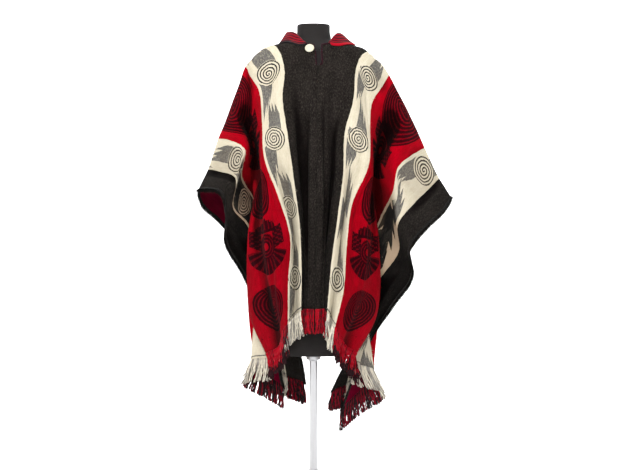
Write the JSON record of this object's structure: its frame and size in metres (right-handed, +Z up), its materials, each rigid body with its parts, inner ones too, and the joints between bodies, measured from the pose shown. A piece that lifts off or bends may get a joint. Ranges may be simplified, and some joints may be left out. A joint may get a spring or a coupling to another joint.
{
  "type": "andean poncho on limbless dress form",
  "caption": "Hand-woven Andean poncho of two striped webs joined at the centre, with a small turned collar, a buttoned neck slit and fringed hems, worn by a limbless dress form on a round base.",
  "frame": {"origin": "middle of the base plate's underside, on the floor", "axes": "+Z up, -Y the wearer's front, +X the wearer's left"},
  "size_m": [0.8448, 0.3659, 1.52],
  "materials": {
    "woven_cloth": "brushed wool, woven stripes of black, cream and red with figured bands",
    "woven_cloth_left": "brushed wool, woven stripes of black, cream and red with figured bands",
    "collar_cloth": "woven wool, red with black lines",
    "fringe_yarn": "loose wool yarn in the colour of the stripe above it",
    "form_cover": "matt jersey cover",
    "stand_metal": "satin",
    "button_face": "polished, ivory coloured",
    "loop_yarn": "plied yarn"
  },
  "bodies": {
    "root": {"web_right": "woven_cloth", "web_left": "woven_cloth_left", "collar": "collar_cloth", "fringe_front_right": "fringe_yarn", "fringe_front_left": "fringe_yarn", "fringe_back_right": "fringe_yarn", "fringe_back_left": "fringe_yarn", "button": "button_face", "loop_cord": "loop_yarn", "dress_form": "form_cover", "pole": "stand_metal", "base_plate": "stand_metal"}
  },
  "joints": []
}
